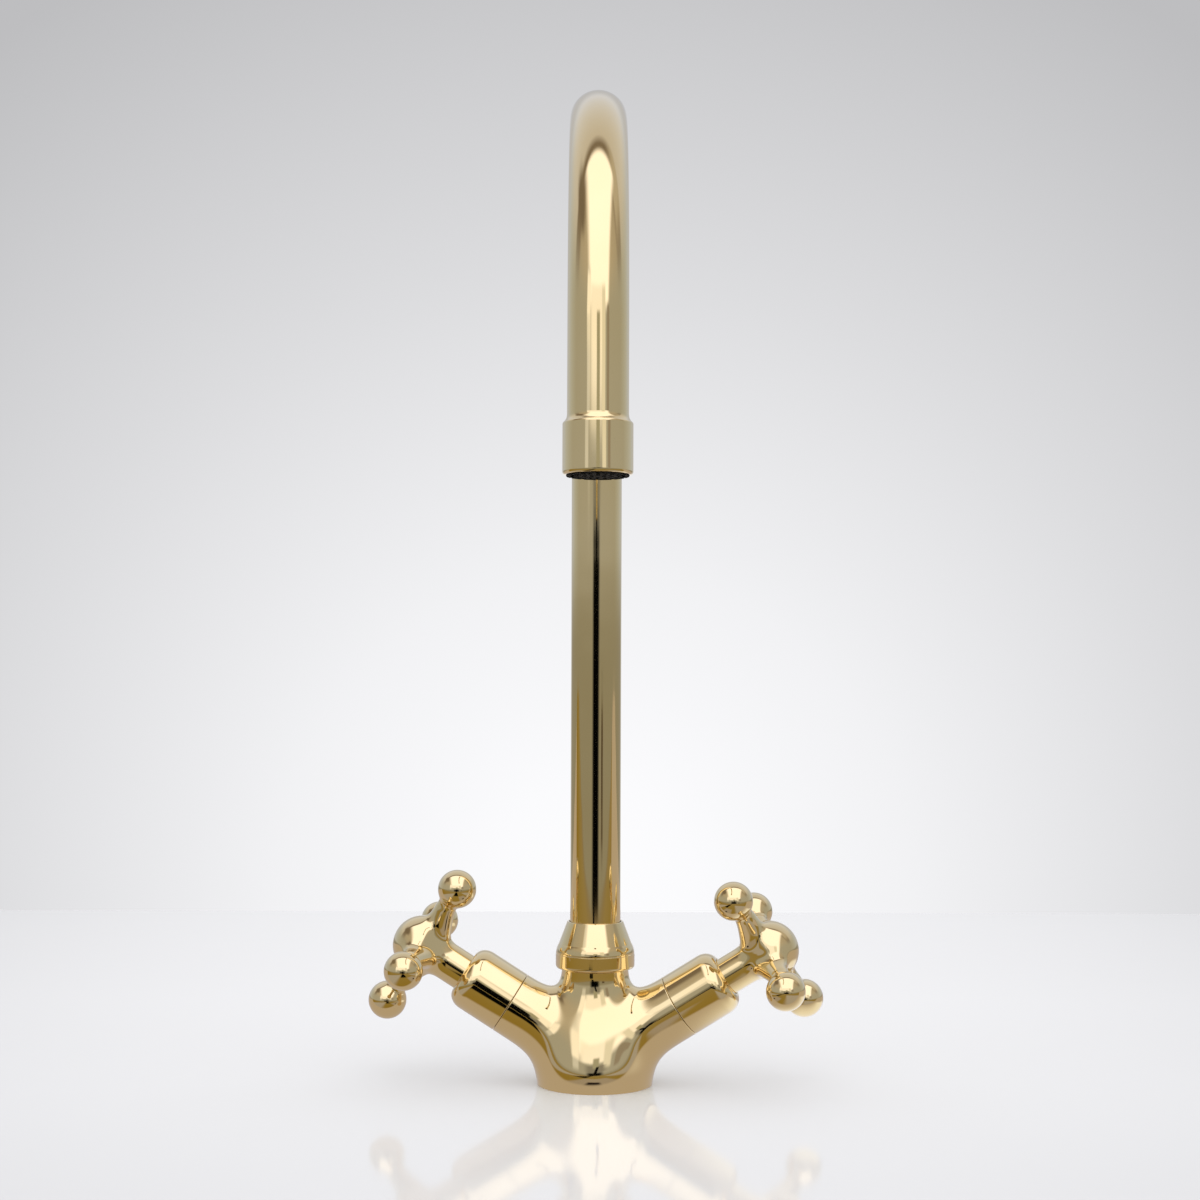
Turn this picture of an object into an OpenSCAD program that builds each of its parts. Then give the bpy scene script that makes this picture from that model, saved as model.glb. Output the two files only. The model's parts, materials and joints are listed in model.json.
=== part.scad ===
// Gooseneck kitchen mixer: one-hole brass body, two quarter-turn ceramic valves with
// ball-ended cross handles, and a tall swivelling spout with an aerator.
// Millimetres. The origin is the centre of the base face; the front is towards -Y.

/* [Body] */
// Radius of the round foot
base_r = 24.8; // [24:0.1:30]
// Radius of the neck below the spout nut
neck_r = 14.3; // [14:0.1:15.5]
// Height of the neck's shoulder above the worktop
neck_h = 50.3; // [49:0.1:58]
// Height at which the foot starts to draw in
dome_start = 4; // [2:0.5:8]
// How softly the arms run into the trunk
blend = 11.5; // [6:0.5:13]
// Length of the bare thread that carries the spout nut
spud_h = 11.7; // [11:0.1:14]
// Radius of that thread
spud_r = 13.05; // [12.8:0.05:13.4]

/* [Valves] */
// Height at which the two valve axes cross the body's axis
valve_z = 11.6; // [10:0.1:13]
// Rise of each valve above the level
valve_rise = 32.4; // [31:0.1:36]
// Turn of each valve towards the front
valve_toe = 2.4; // [0:0.1:6]
// Radius of the valve arms and of their covers
arm_r = 14.1; // [13.8:0.1:15]
// Distance along the valve axis to the seam between body and cover
seam_s = 44; // [42:0.1:48]
// Distance along the valve axis to the water seat
seat_s = 20; // [18:0.1:21]
// Radius of the threaded valve bore
valve_bore_r = 10; // [9.6:0.1:10.2]
// Length of the bell cover
cover_len = 24; // [23:0.1:29]
// How far the cover's rounded shoulder draws in
cover_round = 5.4; // [3:0.1:5.4]
// Length of the cover's rounded shoulder
cover_shoulder = 6.6; // [4:0.1:7]
// Radius of the ceramic discs
disc_r = 6.15; // [5.6:0.05:6.2]
// Thickness of each ceramic disc
disc_t = 2.5; // [2:0.1:3]
// Radius of the spindle
spindle_r = 3.95; // [3.4:0.05:4.1]

/* [Handles] */
// Distance along the valve axis from the seam to the middle of the cross
cross_out = 46; // [45:0.1:56]
// Distance from the middle of the cross to each ball
ball_reach = 31.3; // [28:0.1:36]
// Radius of each ball
ball_r = 8.35; // [7:0.05:9]
// Radius of the dome over the middle of the cross
dome_r = 12.8; // [12:0.1:14]
// Radius of the handle's neck
handle_neck_r = 8.2; // [7.6:0.1:8.3]
// Length of the flare between the neck and the cross
flare_len = 13.3; // [10:0.1:15]
// Thinnest radius of the cross arms, near the balls
arm_neck_r = 3.9; // [3:0.1:5]
// Radius of the cross arms at the hub
arm_root_r = 6; // [5:0.1:7]
// How far below the cross the webs under its arms start
web_drop = 8; // [5:0.1:9]
// Turn of the left cross towards the front, as it is left in use
left_turn = 15; // [0:1:44]
// Turn of the right cross towards the front, as it is left in use
right_turn = 30; // [0:1:44]

/* [Spout] */
// Outer radius of the spout tube
tube_r = 11; // [10:0.1:11.2]
// Wall of the spout tube
tube_wall = 1; // [0.8:0.1:1.5]
// Height at which the gooseneck starts to bend
bend_z = 303; // [200:1:360]
// Radius of the gooseneck along the tube's middle
bend_r = 96; // [60:1:130]
// Angle that the gooseneck turns through
bend_angle = 176.4; // [150:0.1:180]
// Length of the straight leg from the bend to the outlet
leg_len = 55; // [40:1:90]
// Turn of the spout from straight ahead, as it is left in use
spout_turn = 5; // [-60:1:60]
// Height of the spout nut's top edge above the neck's shoulder
nut_h = 20.7; // [20.7:0.1:22.7]
// Radius of the spout nut's lower band
nut_r = 17.2; // [16.8:0.1:18.5]
// Height of the spout nut's lower band
nut_band = 6.4; // [5:0.1:7]

/* [Outlet] */
// Outer radius of the outlet sleeve
sleeve_r = 12.6; // [12.3:0.1:14]
// Length of the outlet sleeve
sleeve_len = 19.5; // [18:0.1:24]
// Radius of the aerator insert
insert_r = 11.15; // [10.9:0.05:11.2]
// Length of the aerator insert
insert_len = 8; // [7:0.1:8.5]
// How far the aerator insert stands out of the sleeve
insert_out = 0.4; // [0:0.1:1]

/* [Mounting] */
// Distance of each water inlet from the middle
inlet_x = 10.5; // [10:0.1:11.5]
// Wall radius of the inlet threads, M10 by 1
inlet_r = 4.55; // [4.4:0.05:4.7]
// Depth of the inlet threads
inlet_depth = 11; // [8:0.5:12]
// Wall radius of the stud thread, M8
stud_r = 3.4; // [3.2:0.05:3.6]
// Depth of the stud thread
stud_depth = 14; // [10:0.5:16]

/* [Hidden] */
$fn = 96;

// Clearances
thread_gap = 0.1;   // between a bore and the thread that fills it
press_gap = 0.05;   // between parts that are brazed or pressed together
run_gap = 0.05;     // between parts that slide on each other
seam_gap = 0.15;    // between visible parts that meet at a seam
part_gap = 0.4;     // round a part that turns inside another

// Small sizes
wall = 1.3;         // thinnest turned brass wall

// Spigot and nut, all from the neck upwards
spud_top = neck_h + spud_h;
nut_top = neck_h + nut_h;
slip_t = 0.8;
flange_t = 2.1;
flange_z = spud_top + slip_t + run_gap;
tube_z = flange_z + flange_t;
nut_shoulder = tube_z + slip_t + 2 * run_gap;
flange_r = spud_r - 0.7;
spigot_bore_r = 9;
spigot_r = spigot_bore_r - run_gap;
spigot_len = 22;
spigot_wall = 2;
tube_in = tube_r - tube_wall;
sleeve_in_tube = 10;
chamber_r = 7.5;
chamber_z = 30;
passage_r = 2.8;
passage_z = 33.5;
channel_r = 3.2;
elbow_r = channel_r + 0.2; // the ball that joins two channels is a little wider than they are

// Gasket ring in the base
gasket_r = base_r - 1.9;
gasket_w = 2.3;
gasket_t = 1.5;

// Valve stack, as distances along the valve axis
cross_s = seam_s + cross_out;
seal_t = 2.2;
fixed_s = seat_s + seal_t;
moving_s = fixed_s + disc_t + run_gap / 2;
driver_s = moving_s + disc_t;
driver_t = 3.5;
disc_chamber_r = disc_r + 0.15;
cartridge_r = disc_chamber_r + wall;
cartridge_s = seat_s + 1;
chamber_end = driver_s + driver_t + run_gap;
thread_s = seam_s - 10;
washer_t = 0.8;
hex_s = seam_s + washer_t;
hex_t = 3.5;
bonnet_len = 14;
bonnet_top = seam_s + bonnet_len;
bonnet_r = valve_bore_r - thread_gap;
cover_in = arm_r - wall;
hex_r = cover_in - seam_gap;
land_s = hex_s + hex_t + 1;
land_len = 6;
cover_end = seam_s + seam_gap + cover_len;
spindle_bore_r = spindle_r + 2 * run_gap;
groove_r = spindle_r - 0.95;
groove_w = 1.5;
ring_r = (spindle_bore_r - groove_r) / 2 - run_gap / 2;
clip_t = 0.7;
clip_s = bonnet_top + seam_gap;
clip_groove = spindle_r - 0.75;
serration_s = clip_s + clip_t + 1.1;
serration_depth = 0.35;
teeth = 20;
handle_s = serration_s;
socket_top = 14;
socket_s = cross_s - socket_top;
screw_s = cover_end + 2.8;
screw_r = 2;

function unit(v) = v / norm(v);
function mix(a, b, t) = a * (1 - t) + b * t;
function oval(cx, cy, rx, ry, from, to, steps) =
  [for (i = [0 : steps]) let (a = mix(from, to, i / steps)) [cx + rx * cos(a), cy + ry * sin(a)]];
function arc(cx, cy, r, from, to, steps = 8) = oval(cx, cy, r, r, from, to, steps);

// The way each valve points, and the point at a distance along its axis
function valve_axis(side) =
  [side * cos(valve_rise) * cos(valve_toe), -cos(valve_rise) * sin(valve_toe), sin(valve_rise)];
body_centre = [0, 0, valve_z];

// Cast skin of the body.
// A field is below zero inside the brass: a round trunk whose radius falls from the foot
// to the neck along half a cosine wave, and two round arms, run together softly.
function soft_min(a, b, k) = let (h = max(k - abs(a - b), 0) / k) min(a, b) - h * h * k / 4;
function trunk_r(z) =
  let (t = min(max((z - dome_start) / (neck_h - 2 - dome_start), 0), 1))
  neck_r + (base_r - neck_r) * (1 + cos(180 * t)) / 2;
function arm_field(p, axis) =
  let (q = p - body_centre, s = max(q * axis, 0)) norm(q - s * axis) - arm_r;
function body_field(p) =
  soft_min(norm([p.x, p.y]) - trunk_r(p.z),
    min(arm_field(p, valve_axis(1)), arm_field(p, valve_axis(-1))), blend);

// From a point inside the skin, walk out until the skin is passed, then halve the last stride
// until the skin is found
stride = 3;
halvings = 16;
function first_out(from, way, far) =
  body_field(from + far * way) > 0 ? far : first_out(from, way, far + stride);
function reach(from, way, low, high, left) =
  left == 0 ? (low + high) / 2 :
  let (mid = (low + high) / 2)
  body_field(from + mid * way) < 0 ? reach(from, way, mid, high, left - 1)
    : reach(from, way, low, mid, left - 1);
function on_skin(from, way) =
  let (far = first_out(from, way, stride))
  from + way * reach(from, way, far - stride, far, halvings);

// Directions from the middle of the body are laid out on a lattice of a box with 8 corners.
// Four of the box's faces grow into limbs, and the front and back close the skin.
skin_n = 10;
neck_corner = 61;
foot_corner = -8;
side_corner = 40;
function box_corner(i, j, k) =
  let (a = k == 1 ? neck_corner : foot_corner)
  [(2 * i - 1) * cos(side_corner) * cos(a), (2 * j - 1) * sin(side_corner), cos(side_corner) * sin(a)];
function box_way(i, j, k) =
  let (u = i / skin_n, v = j / skin_n, w = k / skin_n)
  unit(
    (box_corner(0, 0, 0) * (1 - u) + box_corner(1, 0, 0) * u) * (1 - v) * (1 - w)
    + (box_corner(0, 1, 0) * (1 - u) + box_corner(1, 1, 0) * u) * v * (1 - w)
    + (box_corner(0, 0, 1) * (1 - u) + box_corner(1, 0, 1) * u) * (1 - v) * w
    + (box_corner(0, 1, 1) * (1 - u) + box_corner(1, 1, 1) * u) * v * w);
function square_loop(m) =
  let (n = skin_n)
  m < n ? [m, 0] : m < 2 * n ? [n, m - n] : m < 3 * n ? [3 * n - m, n] : [0, 4 * n - m];
skin_round = 4 * skin_n;

// One limb: rings of points that start on the box's edge and end in a flat round rim.
// Each ring is looked for from its own place on the axis, towards the straight line from the
// edge to the rim.
function limb_points(axis, length, rim_r, rings, edge) =
  let (
    first = [for (way = edge) on_skin(body_centre, way)],
    rim = [for (way = edge) body_centre + axis * length + rim_r * unit(way - (way * axis) * axis)]
  )
  concat(
    first,
    [for (q = [1 : rings]) for (m = [0 : skin_round - 1])
      let (t = q / rings, from = body_centre + axis * length * t)
      on_skin(from, unit(mix(first[m], rim[m], t) - from))],
    [body_centre + axis * length]);
function limb_faces(rings, flip) =
  let (last = (rings + 1) * skin_round)
  concat(
    [for (q = [0 : rings - 1]) for (m = [0 : skin_round - 1]) for (half = [0, 1])
      let (
        next = (m + 1) % skin_round,
        a = q * skin_round + m, b = q * skin_round + next,
        c = a + skin_round, d = b + skin_round,
        tri = half == 0 ? [a, b, d] : [a, d, c]
      )
      flip ? [tri[0], tri[2], tri[1]] : tri],
    [for (m = [0 : skin_round - 1])
      let (a = rings * skin_round + m, b = rings * skin_round + (m + 1) % skin_round)
      flip ? [a, last, b] : [a, b, last]]);
function cap_points(j) =
  [for (k = [0 : skin_n]) for (i = [0 : skin_n]) on_skin(body_centre, box_way(i, j, k))];
function cap_faces(flip) =
  [for (k = [0 : skin_n - 1]) for (i = [0 : skin_n - 1]) for (half = [0, 1])
    let (
      a = k * (skin_n + 1) + i, b = a + 1, c = a + skin_n + 1, d = c + 1,
      tri = half == 0 ? [a, b, d] : [a, d, c]
    )
    flip ? [tri[0], tri[2], tri[1]] : tri];
function shifted(faces, by) = [for (f = faces) [for (i = f) i + by]];

module cast_skin() {
  arm_rings = 9;
  neck_rings = 8;
  foot_rings = 4;
  loop = [for (m = [0 : skin_round - 1]) square_loop(m)];
  right_edge = [for (e = loop) box_way(skin_n, e[0], e[1])];
  left_edge = [for (e = loop) box_way(0, e[0], e[1])];
  neck_edge = [for (e = loop) box_way(e[0], e[1], skin_n)];
  foot_edge = [for (e = loop) box_way(e[0], e[1], 0)];
  right = limb_points(valve_axis(1), seam_s, arm_r, arm_rings, right_edge);
  left = limb_points(valve_axis(-1), seam_s, arm_r, arm_rings, left_edge);
  neck = limb_points([0, 0, 1], neck_h - valve_z, neck_r, neck_rings, neck_edge);
  foot = limb_points([0, 0, -1], valve_z, base_r, foot_rings, foot_edge);
  front = cap_points(0);
  back = cap_points(skin_n);
  arm_f = limb_faces(arm_rings, true);
  at_left = len(right);
  at_neck = at_left + len(left);
  at_foot = at_neck + len(neck);
  at_front = at_foot + len(foot);
  at_back = at_front + len(front);
  polyhedron(
    points = concat(right, left, neck, foot, front, back),
    faces = concat(
      arm_f,
      shifted(limb_faces(arm_rings, false), at_left),
      shifted(limb_faces(neck_rings, true), at_neck),
      shifted(limb_faces(foot_rings, false), at_foot),
      shifted(cap_faces(true), at_front),
      shifted(cap_faces(false), at_back)),
    convexity = 6);
}

// Places children on a valve axis: +Z runs outwards from the body's middle.
// The left valve is the mirror image of the right one.
module on_valve(side) {
  mirror([side < 0 ? 1 : 0, 0, 0])
    translate(body_centre)
      rotate([0, 0, -valve_toe])
        rotate([0, 90 - valve_rise, 0])
          children();
}

// Places children on a valve, turned as its cross handle is left in use
function cross_turn(side) = side < 0 ? left_turn : right_turn;
module on_cross(side) {
  on_valve(side) rotate([0, 0, cross_turn(side)]) children();
}

module ring(r_out, r_in, h) {
  difference() {
    cylinder(r = r_out, h = h);
    translate([0, 0, -1]) cylinder(r = r_in, h = h + 2);
  }
}

module o_ring(middle_r, thick_r) {
  rotate_extrude() translate([middle_r, 0]) circle(r = thick_r, $fn = 32);
}

// Body casting with its bores
module valve_bore(side) {
  on_valve(side) {
    translate([0, 0, seat_s]) cylinder(r = valve_bore_r, h = seam_s - seat_s + 1);
    elbow_s = inlet_x / cos(valve_rise) / cos(valve_toe);
    translate([0, 0, elbow_s]) cylinder(r = channel_r, h = seat_s - elbow_s + 1);
    translate([0, 0, elbow_s]) sphere(r = elbow_r);
  }
}

module inlet(side) {
  elbow_z = valve_z + inlet_x * tan(valve_rise) / cos(valve_toe);
  translate([side * inlet_x, -inlet_x * tan(valve_toe), -1]) {
    cylinder(r = inlet_r, h = inlet_depth + 1);
    cylinder(r = channel_r, h = elbow_z + 1);
  }
}

module tap_body() {
  color("goldenrod")
    difference() {
      union() {
        cast_skin();
        translate([0, 0, neck_h - 3]) cylinder(r = spud_r, h = spud_h + 3);
      }
      translate([0, 0, spud_top - spigot_len - 1]) cylinder(r = spigot_bore_r, h = spigot_len + 2);
      translate([0, 0, chamber_z]) cylinder(r = chamber_r, h = spud_top - chamber_z - 2);
      for (side = [-1, 1]) {
        valve_bore(side);
        inlet(side);
      }
      passage_x = (passage_z - valve_z) / tan(valve_rise) * 0.6;
      translate([-passage_x, 0, passage_z])
        rotate([0, 90, 0])
          cylinder(r = passage_r, h = 2 * passage_x);
      translate([0, 0, -1]) cylinder(r = stud_r, h = stud_depth + 1);
      groove_in = gasket_r - gasket_w - thread_gap;
      translate([0, 0, -1]) ring(gasket_r + thread_gap, groove_in, gasket_t + 1 + thread_gap);
    }
}

module base_gasket() {
  color("dimgray") ring(gasket_r, gasket_r - gasket_w, gasket_t);
}

// Spout nut: a smooth cone over a short round band, threaded inside
module spout_nut() {
  foot_z = neck_h + 2 * seam_gap;
  band_z = foot_z + nut_band;
  edge = 1.5;
  step = 0.15;
  lip_r = tube_r + part_gap;
  top_r = lip_r + 0.75;
  bulge_r = nut_r - 1;
  bulge_z = band_z + 3.4;
  color("goldenrod")
    rotate_extrude()
      polygon(concat(
        [[spud_r + thread_gap, foot_z]],
        arc(nut_r - edge, foot_z + edge, edge, -90, 0, 6),
        [[nut_r, band_z], [nut_r - step, band_z]],
        [[nut_r - 0.22, band_z + 1.5], [nut_r - 0.5, band_z + 2.5]],
        [[bulge_r, bulge_z], [top_r + 0.2, nut_top - 0.4], [top_r, nut_top]],
        [[lip_r, nut_top], [lip_r, nut_shoulder], [flange_r + 0.3, nut_shoulder]],
        [[flange_r + 0.3, spud_top + 0.4], [spud_r + thread_gap, spud_top + 0.4]]));
}

module slip_ring(z, r_in) {
  color("whitesmoke") translate([0, 0, z]) ring(flange_r, r_in, slip_t);
}

// Ceramic valve: what stays with the body
module valve_bonnet(side) {
  color("darkgoldenrod")
    on_valve(side)
      difference() {
        union() {
          translate([0, 0, cartridge_s]) cylinder(r = cartridge_r, h = thread_s - cartridge_s + 1);
          translate([0, 0, thread_s])
            cylinder(r = bonnet_r, h = hex_s + hex_t + land_len + 2 - thread_s);
          translate([0, 0, hex_s]) cylinder(r = hex_r, h = hex_t, $fn = 6);
          translate([0, 0, thread_s]) cylinder(r = disc_chamber_r, h = bonnet_top - thread_s);
        }
        translate([0, 0, cartridge_s - 1])
          cylinder(r = disc_chamber_r, h = chamber_end - cartridge_s + 1);
        translate([0, 0, cartridge_s]) cylinder(r = spindle_bore_r, h = bonnet_top - cartridge_s + 1);
        window_w = 6.5;
        translate([-window_w / 2, -cartridge_r - 1, driver_s])
          cube([window_w, 2 * cartridge_r + 2, driver_t - 0.2]);
      }
}

module bonnet_washer(side) {
  color("firebrick")
    on_valve(side) translate([0, 0, seam_s]) ring(hex_r * cos(30), bonnet_r + seam_gap, washer_t);
}

module seat_seal(side) {
  color("dimgray") on_valve(side) translate([0, 0, seat_s]) ring(disc_r, channel_r + 0.4, seal_t);
}

// A disc with two windows that are sectors of a ring
module ceramic_disc(window_angle) {
  hub = 1.2;
  rim = 1.1;
  difference() {
    cylinder(r = disc_r - run_gap, h = disc_t);
    for (half = [0, 180])
      rotate([0, 0, half - window_angle / 2 + 90])
        translate([0, 0, -1])
          rotate_extrude(angle = window_angle)
            translate([hub, 0]) square([disc_r - rim - hub, disc_t + 2]);
  }
}

module fixed_disc(side) {
  color("white") on_valve(side) translate([0, 0, fixed_s]) ceramic_disc(84);
}

module moving_disc(side) {
  color("white")
    on_valve(side)
      translate([0, 0, moving_s])
        difference() {
          rotate([0, 0, 90]) ceramic_disc(84);
          tongue_slot(thread_gap);
        }
}

tongue_w = 1.6;
tongue_t = 0.9;
// The spindle's tongue drives the moving disc, and this slot takes it
module tongue_slot(gap) {
  translate([-tongue_w / 2 - gap, -disc_r, disc_t - tongue_t - gap])
    cube([tongue_w + 2 * gap, 2 * disc_r, tongue_t + 1]);
}

module valve_cover(side) {
  inner_z = cover_end - cover_round * 0.75;
  mouth_r = handle_neck_r + part_gap;
  round_in = 4.5;
  land_r = bonnet_r + thread_gap;
  bend_from = arm_r - cover_round;
  color("goldenrod")
    on_valve(side)
      rotate_extrude()
        polygon(concat(
          [[cover_in, seam_s + seam_gap], [arm_r, seam_s + seam_gap]],
          oval(bend_from, cover_end - cover_shoulder, cover_round, cover_shoulder, 0, 90, 12),
          [[mouth_r, cover_end], [mouth_r, inner_z], [cover_in - round_in, inner_z]],
          [[cover_in, inner_z - round_in], [cover_in, land_s + land_len]],
          [[land_r, land_s + land_len], [land_r, land_s], [cover_in, land_s]]));
}

// Ceramic valve: what turns with the handle
module serrated(r) {
  polygon([for (i = [0 : 2 * teeth - 1])
    let (a = 180 * i / teeth, q = r - (i % 2) * serration_depth) [q * cos(a), q * sin(a)]]);
}

module spindle(side) {
  driver_w = 7;
  foot_s = driver_s + run_gap;
  color("darkgoldenrod")
    on_valve(side)
      difference() {
        union() {
          intersection() {
            translate([0, 0, foot_s]) cylinder(r = disc_r - run_gap, h = driver_t - run_gap);
            translate([-driver_w / 2, -disc_r, foot_s])
              cube([driver_w, 2 * disc_r, driver_t - run_gap]);
          }
          intersection() {
            translate([0, 0, driver_s - tongue_t]) cylinder(r = disc_r - 1, h = tongue_t + 1);
            translate([-tongue_w / 2, -disc_r, driver_s - tongue_t])
              cube([tongue_w, 2 * disc_r, tongue_t + 1]);
          }
          translate([0, 0, foot_s]) cylinder(r = spindle_r, h = serration_s - foot_s);
          translate([0, 0, serration_s - 1])
            rotate([0, 0, cross_turn(side)])
              linear_extrude(socket_s - serration_s) serrated(spindle_r - thread_gap);
        }
        for (s = spindle_groove_s())
          translate([0, 0, s]) ring(spindle_r + 1, groove_r, groove_w);
        translate([0, 0, clip_s - run_gap]) ring(spindle_r + 1, clip_groove, clip_t + 2 * run_gap);
      }
}

// O-ring grooves of the spindle, as depths below the body's seam
deep_groove = 6;
near_groove = 1;
function spindle_groove_s() = [seam_s - deep_groove, seam_s - near_groove];

module spindle_o_rings(side) {
  color("black")
    on_valve(side)
      for (s = spindle_groove_s())
        translate([0, 0, s + groove_w / 2]) o_ring(groove_r + ring_r + run_gap / 4, ring_r);
}

module spindle_clip(side) {
  open_angle = 80;
  color("silver")
    on_valve(side)
      translate([0, 0, clip_s])
        rotate_extrude(angle = 360 - open_angle)
          translate([clip_groove + run_gap, 0]) square([2.2, clip_t]);
}

// Cross handle: neck, flare and dome turned in one line, four arms that narrow to balls
module cross_arm() {
  narrow_at = ball_reach - ball_r - 1.5;
  root_at = dome_r * 0.62;
  steps = 6;
  rotate_extrude()
    polygon(concat(
      [[0, 0], [arm_root_r, 0]],
      [for (i = [0 : steps])
        let (t = i / steps)
        [arm_neck_r + (arm_root_r - arm_neck_r) * pow(1 - t, 2), mix(root_at, narrow_at, t)]],
      [[arm_neck_r + 0.5, ball_reach - ball_r + 0.6], [arm_neck_r + 0.5, ball_reach]],
      [[0, ball_reach]]));
  translate([0, 0, ball_reach]) sphere(r = ball_r);
}

// A leaning cone under each arm fills the corner between the arm and the neck
module arm_web() {
  web_end = ball_reach * 0.64;
  web_rise = web_drop - 0.5;
  translate([0, 0, -web_drop])
    rotate([0, atan2(web_end, web_rise), 0])
      cylinder(r1 = arm_neck_r + 0.7, r2 = arm_neck_r - 0.2, h = norm([web_end, web_rise]));
}

module handle_form() {
  flare_out = dome_r - handle_neck_r;
  flare_turn = 2 * atan(flare_out / flare_len);
  flare_r = flare_len / sin(flare_turn);
  rotate_extrude()
    polygon(concat(
      [[0, handle_s - cross_s], [handle_neck_r, handle_s - cross_s]],
      arc(handle_neck_r + flare_r, -flare_len, flare_r, 180, 180 - flare_turn, 7),
      [[0, 0]]));
  intersection() {
    sphere(r = dome_r);
    cylinder(r = dome_r + 1, h = dome_r + 1);
  }
  for (turn = [0 : 90 : 270]) {
    rotate([0, 90, turn]) cross_arm();
    rotate([0, 0, turn]) arm_web();
  }
}

module handle(side) {
  color("goldenrod")
    on_cross(side)
      difference() {
        translate([0, 0, cross_s]) handle_form();
        translate([0, 0, handle_s - 1])
          linear_extrude(socket_s + 0.5 - handle_s + 1)
            serrated(spindle_r + run_gap);
        grub_hole(screw_r + run_gap, handle_neck_r + 1);
      }
}

// The screw lies between two arms, on the side away from the front
module grub_hole(r, length) {
  translate([0, 0, screw_s])
    rotate([0, 0, 45])
      rotate([0, 90, 0])
        cylinder(r = r, h = length, $fn = 32);
}

module handle_grub_screw(side) {
  screw_in = spindle_r + thread_gap;
  socket_r = 1.15;
  color("silver")
    on_cross(side)
      intersection() {
        difference() {
          grub_hole(screw_r, handle_neck_r - 0.4);
          translate([0, 0, screw_s]) rotate([0, 0, 45]) rotate([0, 90, 0])
            translate([0, 0, handle_neck_r - 2]) cylinder(r = socket_r, h = 3, $fn = 6);
        }
        translate([0, 0, screw_s]) rotate([0, 0, 45]) rotate([0, 90, 0])
          translate([0, 0, screw_in]) cylinder(r = screw_r + 1, h = handle_neck_r);
      }
}

// Spout
module on_spout() {
  rotate([0, 0, spout_turn]) children();
}

// The gooseneck is drawn in the plane of its bend, which starts straight up at +X
module on_bend() {
  on_spout() translate([0, -bend_r, bend_z]) rotate([90, 0, 90]) children();
}

// +Z runs along the leg in the way of the water, from the end of the bend
module on_leg() {
  on_bend() rotate([0, 0, bend_angle]) translate([bend_r, 0, 0]) rotate([-90, 0, 0]) children();
}

// How far the sleeve grips the tube, and the length of tube below the bend
sleeve_grip = 8.8;
tube_end = leg_len - sleeve_len + sleeve_grip;
// The leg takes in the last of the bend, a hair thicker, so that the two are one tube
leg_lap = 0.5;
leg_hair = 0.005;

module spout_tube() {
  color("goldenrod") {
    on_spout() translate([0, 0, tube_z]) ring(tube_r, tube_in, bend_z - tube_z);
    on_bend()
      rotate_extrude(angle = bend_angle)
        translate([bend_r, 0])
          difference() {
            circle(r = tube_r);
            circle(r = tube_in);
          }
    on_leg()
      translate([0, 0, -leg_lap])
        ring(tube_r + leg_hair, tube_in - leg_hair, tube_end + leg_lap);
  }
}

// O-ring grooves of the spigot, as heights above its lower end
lower_groove = 4;
upper_groove = 12;
function spigot_groove_z() = [for (z = [lower_groove, upper_groove]) spud_top - spigot_len + z];
spigot_groove_r = spigot_r - 1.45;
spigot_groove_w = 2;

// Turned bush brazed into the foot of the tube; its flange is held under the nut
module spout_spigot() {
  spigot_in = spigot_groove_r - spigot_wall / 2;
  color("darkgoldenrod")
    on_spout()
      difference() {
        union() {
          translate([0, 0, spud_top - spigot_len + 1]) cylinder(r = spigot_r, h = spigot_len + 1);
          translate([0, 0, flange_z]) cylinder(r = flange_r, h = flange_t);
          translate([0, 0, flange_z]) cylinder(r = tube_in - press_gap, h = flange_t + sleeve_in_tube);
        }
        translate([0, 0, spud_top - spigot_len - 1])
          cylinder(r = spigot_in, h = spigot_len + flange_t + sleeve_in_tube + 9);
        for (z = spigot_groove_z())
          translate([0, 0, z]) ring(spigot_r + 1, spigot_groove_r, spigot_groove_w);
      }
}

module spigot_o_rings() {
  thick = (spigot_bore_r - spigot_groove_r) / 2 - run_gap;
  color("black")
    on_spout()
      for (z = spigot_groove_z())
        translate([0, 0, z + spigot_groove_w / 2])
          o_ring(spigot_groove_r + thick + run_gap / 2, thick);
}

// Outlet: sleeve brazed over the tube's end, aerator screwed in from below
module on_outlet() {
  on_leg() translate([0, 0, leg_len]) children();
}

insert_top = insert_out - insert_len;
gasket_top = insert_top - 1.5;

module outlet_sleeve() {
  lip = 1.6;
  stop = sleeve_grip - sleeve_len;
  color("goldenrod")
    on_outlet()
      rotate_extrude()
        polygon(concat(
          [[insert_r + thread_gap, 0]],
          arc(sleeve_r - lip + 0.4, -lip, lip - 0.4, 90, 0, 5),
          arc(sleeve_r - lip, lip - sleeve_len, lip, 0, -80, 6),
          [[tube_r + press_gap, -sleeve_len], [tube_r + press_gap, stop + press_gap]],
          [[tube_in, stop + press_gap], [tube_in, gasket_top], [insert_r + thread_gap, gasket_top]]));
}

// Black plastic insert with key notches round its rim and an outlet grid
module aerator_insert() {
  shell = 1.4;
  grid_t = 2;
  notch_n = 12;
  color("black")
    on_outlet()
      difference() {
        translate([0, 0, insert_top]) cylinder(r = insert_r, h = insert_len);
        translate([0, 0, insert_top - 1]) cylinder(r = insert_r - shell, h = insert_len - grid_t + 1);
        translate([0, 0, insert_out - 1]) ring(insert_r - shell, insert_r - shell - 1.2, 2);
        for (row = [1 : 3]) {
          count = 6 * row;
          for (i = [0 : count - 1])
            rotate([0, 0, 360 * i / count])
              translate([2.5 * row, 0, insert_out - grid_t - 1])
                cylinder(r = 0.85, h = grid_t + 2, $fn = 16);
        }
        for (i = [0 : notch_n - 1])
          rotate([0, 0, 360 * i / notch_n])
            translate([insert_r - 0.9, -0.7, insert_out - 1.2]) cube([2, 1.4, 2]);
      }
}

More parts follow.
